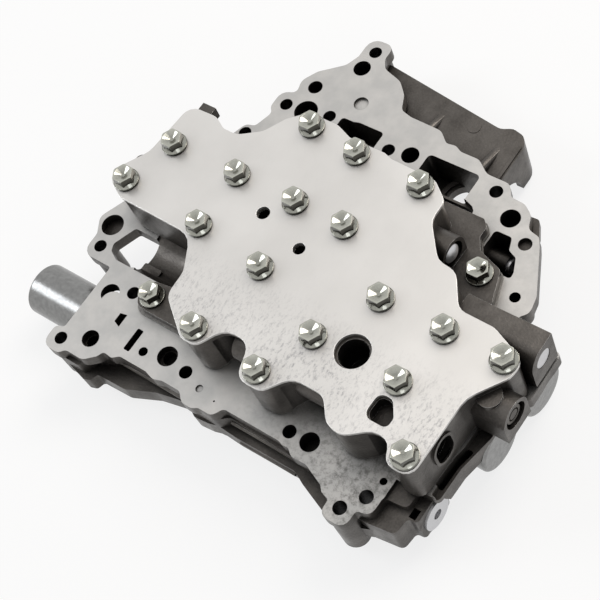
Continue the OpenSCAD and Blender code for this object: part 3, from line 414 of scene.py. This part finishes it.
# the castings' edges, painted lighter as a highlight, and brighter still where the deck is milled
CAST_EDGE = DieCast(
    "die_cast_aluminium_rubbed_edge",
    dark="#57524d",
    pale="#7b756f",
    milled_dark="#c2c1bf",
    milled_pale="#d6d5d3",
    machined_z_mm=DECK_Z_MM,
)
# zinc-coated sheet steel: pale, blurred reflections, etched where oil stood on it
COVER_SHEET = SatinSheet("zinc_coated_cover_sheet")
# the same sheet's sheared edge: painted brighter as a highlight along the edge, and free of most flecks
COVER_EDGE = SatinSheet(
    "zinc_coated_cover_edge",
    dark="#d6d5d2",
    pale="#e0dfdc",
    etch_share=0.1,
    roughness=0.32,
)
# bare sheet steel, oily: darker than the cover
SEPARATOR_SHEET = SatinSheet("separator_sheet_steel", dark="#5f5d5a", pale="#7a7875", etch="#3b3a38")
# bright zinc plate with a faint yellow passivation: sharp reflections, with painted shade at the foot of the
# head and on its upright facets
ZINC = TurnedMetal(
    "bright_zinc_plate",
    dark="#aaaaa1",
    pale="#b7b7ae",
    painted_shade="#16150f",
    line_mm=3.0,
    roughness=0.13,
    spread=0.02,
    grain=Grain.EVEN,
    paints_shade=True,
    side_shade=0.78,
)
# deep-drawn steel can with nickel plate: satin silver, faintly mottled
CAN = TurnedMetal(
    "drawn_nickel_can",
    dark="#7c7c7b",
    pale="#8c8c8b",
    line_mm=2.2,
    roughness=0.24,
    spread=0.02,
    grain=Grain.EVEN,
)
# ground steel: bright, fine rings
GROUND = TurnedMetal("ground_steel", dark="#b4b4b2", pale="#cacac8", line_mm=0.6, roughness=0.24, spread=0.03)
# phosphated steel: dull brown-grey plugs
PHOSPHATED = TurnedMetal("phosphated_steel", dark="#4e4b47", pale="#6e6a65", line_mm=0.8, roughness=0.4)
# drawn spring wire: grey, smooth
SPRING = TurnedMetal("drawn_spring_wire", dark="#6f7072", pale="#8f9092", line_mm=0.4, roughness=0.32)
# turned aluminium: pale with tool rings
NOSE = TurnedMetal("turned_aluminium", dark="#b9b9b7", pale="#d4d4d2", line_mm=0.6, roughness=0.3)
# nitrile rubber: black, matt
RUBBER = Moulded("seal_rubber")
# pressed fibre gasket: grey-brown, matt
FIBRE = Moulded("gasket_fibre", dark="#3d3a36", pale="#55514b", grain_mm=0.9, roughness=0.75)
# enamelled copper winding: orange-brown, glossy
ENAMEL = Moulded("enamelled_copper_wire", dark="#8a4f2b", pale="#b26a3c", grain_mm=0.5, roughness=0.35)


def only(obj: bpy.types.Object) -> None:
    """Selects one object alone and makes it active."""
    bpy.ops.object.select_all(action="DESELECT")
    obj.select_set(True)
    bpy.context.view_layer.objects.active = obj


def wear(obj: bpy.types.Object, *finishes: Finish) -> None:
    """Gives an object its finishes, one slot each."""
    obj.data.materials.clear()
    for finish in finishes:
        obj.data.materials.append(finish.material())


def loose_copy(node: bpy.types.Object, ending: str) -> bpy.types.Object:
    """Copies a CAD node to a free object at the origin.

    Args:
        node: the CAD node.
        ending: what the copy's name ends with.

    Returns:
        The copy, which is active.
    """
    only(node)
    bpy.ops.object.duplicate(linked=False)
    piece = bpy.context.active_object
    piece.name = f"{node.name}_{ending}"
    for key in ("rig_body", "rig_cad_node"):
        if key in piece:
            del piece[key]
    piece.parent = None
    piece.matrix_world = Matrix.Identity(4)
    return piece


@dataclass
class EdgedCopy:
    """A CAD node's copy whose sharp edges are broken, as a casting's or a pressing's are."""

    node: str
    finish: Finish
    slot: str
    edge_finish: Finish
    width_mm: float = 0.4
    segments: int = 2
    angle_deg: float = 40.0
    smooth_deg: float = 34.0
    weld_mm: float = 0.002
    flat_deg: float = 0.4
    flat_weight: int = 100

    def build(self, nodes: dict[str, bpy.types.Object]) -> None:
        """Copies the node, merges its faces, breaks its edges and sets it on the housing.

        Args:
            nodes: the CAD nodes by name.
        """
        piece = loose_copy(nodes[self.node], "edged")
        bpy.ops.object.mode_set(mode="EDIT")
        bpy.ops.mesh.select_all(action="SELECT")
        bpy.ops.mesh.remove_doubles(threshold=mm(self.weld_mm))
        bpy.ops.mesh.dissolve_limited(angle_limit=math.radians(self.flat_deg))
        bpy.ops.object.mode_set(mode="OBJECT")
        wear(piece, self.finish, self.edge_finish)
        self.break_edges(piece)
        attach(piece, HOUSING)
        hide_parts(self.node)
        LOG.info("%s stands for %s, %d faces", piece.name, self.node, len(piece.data.polygons))

    def break_edges(self, piece: bpy.types.Object) -> None:
        """Bevels the sharp edges and keeps the flat faces flat to the eye.

        Args:
            piece: the active object.
        """
        bpy.ops.object.modifier_add(type="BEVEL")
        bevel = piece.modifiers[-1]
        bevel.width = mm(self.width_mm)
        bevel.segments = self.segments
        bevel.limit_method = "ANGLE"
        bevel.angle_limit = math.radians(self.angle_deg)
        bevel.use_clamp_overlap = True
        bevel.miter_outer = "MITER_ARC"
        bevel.material = EDGE_SLOT
        bpy.ops.object.modifier_apply(modifier=bevel.name)
        bpy.ops.object.shade_smooth_by_angle(angle=math.radians(self.smooth_deg))
        bpy.ops.object.modifier_add(type="WEIGHTED_NORMAL")
        flatten = piece.modifiers[-1]
        flatten.keep_sharp = True
        flatten.weight = self.flat_weight
        bpy.ops.object.modifier_apply(modifier=flatten.name)


@dataclass
class EdgedGroup:
    """A sub-assembly of edged copies."""

    copies: list[EdgedCopy] = field(default_factory=list)

    def build(self, nodes: dict[str, bpy.types.Object]) -> None:
        """Builds the copies in order."""
        for copy in self.copies:
            copy.build(nodes)


@dataclass
class Castings(EdgedGroup):
    """Main, upper and lower bodies."""

    copies: list[EdgedCopy] = field(
        default_factory=lambda: [
            EdgedCopy("main_body", CAST_MILLED, "cast_aluminium", CAST_EDGE, width_mm=0.5),
            EdgedCopy("upper_body", CAST, "cast_aluminium", CAST_EDGE, width_mm=0.8),
            EdgedCopy("lower_body", CAST, "cast_aluminium", CAST_EDGE, width_mm=0.6),
        ]
    )


@dataclass
class Cover(EdgedGroup):
    """Cover plate and the bolts that hold it and the feet."""

    copies: list[EdgedCopy] = field(
        default_factory=lambda: [
            EdgedCopy("cover_plate", COVER_SHEET, "cover_steel", COVER_EDGE, width_mm=0.5, segments=3),
            EdgedCopy("cover_bolts", ZINC, "zinc", ZINC, width_mm=0.22, angle_deg=22.0, smooth_deg=20.0),
            EdgedCopy("foot_bolts", ZINC, "zinc", ZINC, width_mm=0.22, angle_deg=22.0, smooth_deg=20.0),
        ]
    )


@dataclass
class Springs:
    """Coil springs that the slides push on, copied as they are onto the housing."""

    finish: Finish = SPRING
    slot: str = "spring_steel"
    smooth_deg: float = 75.0

    def build(self, nodes: dict[str, bpy.types.Object], joints: list[dict[str, Any]]) -> None:
        """Builds a spring for each one that a joint of the frame presses."""
        for joint in joints:
            for pressed in joint.get("deforming_nodes", []):
                self.press(nodes[pressed["node"]])

    def press(self, node: bpy.types.Object) -> None:
        """Copies a spring and sets the copy on the housing.

        Args:
            node: the spring's CAD node.
        """
        piece = loose_copy(node, "pressed")
        wear(piece, self.finish)
        bpy.ops.object.shade_smooth_by_angle(angle=math.radians(self.smooth_deg))
        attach(piece, HOUSING)
        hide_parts(node.name)
        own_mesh(piece)


@dataclass
class Plain:
    """Every CAD node's finish, by what its name ends with; the copies start from these nodes."""

    smooth_deg: float = 30.0
    finishes: dict[str, Finish] = field(
        default_factory=lambda: {
            "_valve": GROUND,
            "_plug": GROUND,
            "shift_plug": PHOSPHATED,
            "regulator_plug": PHOSPHATED,
            "_plunger": GROUND,
            "dowel_pins": GROUND,
            "check_balls": GROUND,
            "spring": SPRING,
            "_clip": SPRING,
            "_can": CAN,
            "_coil": ENAMEL,
            "_seals": RUBBER,
            "_nose": NOSE,
            "gasket": FIBRE,
            "separator": SEPARATOR_SHEET,
            "separator_plate": SEPARATOR_SHEET,
            "_bolts": ZINC,
            "_body": CAST,
            "cover_plate": COVER_SHEET,
        }
    )

    def build(self, nodes: dict[str, bpy.types.Object]) -> None:
        """Gives every node the finish that its name ends with."""
        for name, obj in nodes.items():
            match = max((end for end in self.finishes if name.endswith(end)), key=len)
            wear(obj, self.finishes[match])
            only(obj)
            bpy.ops.object.shade_smooth_by_angle(angle=math.radians(self.smooth_deg))


@dataclass(frozen=True)
class Lamp:
    """A soft square lamp that faces the object."""

    name: str
    place: tuple[float, float, float]
    size: float
    watts: float
    tint: str
    aim_mm: tuple[float, float, float] = (0.0, 0.0, 30.0)

    def hang(self) -> None:
        """Hangs the lamp."""
        bpy.ops.object.light_add(type="AREA", location=self.place)
        lamp = bpy.context.active_object
        lamp.name = self.name
        lamp.data.size = self.size
        lamp.data.energy = self.watts
        lamp.data.color = linear(self.tint)[:3]
        aim = Vector([mm(value) for value in self.aim_mm]) - Vector(self.place)
        lamp.rotation_euler = aim.to_track_quat("-Z", "Y").to_euler()


WARM = "#fff8f0"
COOL = "#f6faff"
LAMPS = (
    Lamp("key", (0.25, 1.0, 1.25), 0.8, 11.5, WARM),
    Lamp("fill", (-0.95, -0.5, 0.85), 0.5, 4.0, COOL),
    Lamp("rim", (0.9, -0.6, 0.8), 0.5, 1.5, COOL),
    Lamp("top", (-0.07, 0.35, 1.45), 0.5, 1.2, WARM),
)


@dataclass
class Studio:
    """Pale floor, soft lamps and the photograph's camera."""

    eye_mm: tuple[float, float, float] = (360.0, -215.0, 651.5)
    forward: tuple[float, float, float] = (-0.4873, 0.2613, -0.8332)
    level: tuple[float, float, float] = (0.4726, 0.8813, 0.0)
    roll_deg: float = 30.02
    lens_mm: float = 91.08
    sensor_mm: float = 36.0
    clip_mm: float = 10.0
    paper: str = "#ffffff"
    air_level: float = 0.35
    floor_mm: float = 6000.0
    near_mm: float = 350.0
    far_mm: float = 1200.0
    near_glow: float = 0.78

    def build(self) -> None:
        """Makes the camera, world, floor and lamps."""
        self.camera()
        self.world()
        self.floor()
        for lamp in LAMPS:
            lamp.hang()

    def camera(self) -> None:
        """Sets the camera at the photograph's eye, turned by its roll."""
        ahead = Vector(self.forward).normalized()
        right0 = Vector(self.level).normalized()
        up0 = right0.cross(ahead).normalized()
        roll = math.radians(self.roll_deg)
        right = right0 * math.cos(roll) - up0 * math.sin(roll)
        up = right0 * math.sin(roll) + up0 * math.cos(roll)
        turn = Matrix((right, up, -ahead)).transposed().to_4x4()
        bpy.ops.object.camera_add()
        eye = bpy.context.active_object
        eye.name = "photo_camera"
        eye.matrix_world = Matrix.Translation(Vector([mm(value) for value in self.eye_mm])) @ turn
        eye.data.lens = self.lens_mm
        eye.data.sensor_width = self.sensor_mm
        eye.data.clip_start = mm(self.clip_mm)
        bpy.context.scene.camera = eye

    def world(self) -> None:
        """White to the camera and in reflections, a plain level elsewhere."""
        world = bpy.data.worlds.new("studio_air")
        bpy.context.scene.world = world
        world.use_nodes = True
        tree = world.node_tree
        tree.nodes.clear()
        level = add(tree, "MapRange", {0: self.looked_at(tree), 3: self.air_level, 4: 1.0}).outputs[0]
        glow = add(tree, "Background", {"Color": (1, 1, 1, 1), "Strength": level}).outputs[0]
        add(tree, "OutputWorld", {"Surface": glow})

    def looked_at(self, tree: bpy.types.NodeTree) -> bpy.types.NodeSocket:
        """One for rays of the camera, of reflections and through glass.

        Args:
            tree: the node tree.

        Returns:
            The factor socket.
        """
        path = add(tree, "LightPath").outputs
        seen = {0: path["Is Camera Ray"], 1: path["Is Glossy Ray"]}
        pair = add(tree, "Math", seen, operation="MAXIMUM").outputs[0]
        every = {0: pair, 1: path["Is Transmission Ray"]}
        return add(tree, "Math", every, operation="MAXIMUM").outputs[0]

    def floor(self) -> None:
        """Lays a pale paper floor that keeps the object's shadow."""
        bpy.ops.object.select_all(action="DESELECT")
        bpy.ops.mesh.primitive_plane_add(size=mm(self.floor_mm), location=(0, 0, 0))
        sheet = bpy.context.active_object
        sheet.name = "paper_floor"
        paper = bpy.data.materials.new("studio_paper")
        paper.use_nodes = True
        tree = paper.node_tree
        tree.nodes.clear()
        dull = add(tree, "BsdfDiffuse", {"Color": linear(self.paper)}).outputs[0]
        glow = add(tree, "Emission", {"Color": linear(self.paper), "Strength": 1.0}).outputs[0]
        # the paper glows evenly far from the object, and takes the shadow near it
        where = add(tree, "TexCoord").outputs["Object"]
        away = add(tree, "VectorMath", {0: where}, operation="LENGTH").outputs["Value"]
        fade = {0: away, 1: mm(self.near_mm), 2: mm(self.far_mm), 3: self.near_glow, 4: 1.0}
        share = add(tree, "MapRange", fade).outputs[0]
        seen = add(tree, "Math", {0: self.looked_at(tree), 1: share}, operation="MULTIPLY").outputs[0]
        mixed = add(tree, "MixShader", {0: seen, 1: dull, 2: glow}).outputs[0]
        add(tree, "OutputMaterial", {"Surface": mixed})
        sheet.data.materials.clear()
        sheet.data.materials.append(paper)


def main() -> None:
    """Builds the classes in order."""
    logging.basicConfig(level=logging.INFO, format="%(message)s")
    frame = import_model()
    bpy.context.scene.view_settings.view_transform = "Standard"
    Plain().build(frame["nodes"])
    Castings().build(frame["nodes"])
    Cover().build(frame["nodes"])
    Springs().build(frame["nodes"], frame["joints"])
    Studio().build()


if __name__ == "__main__":
    main()
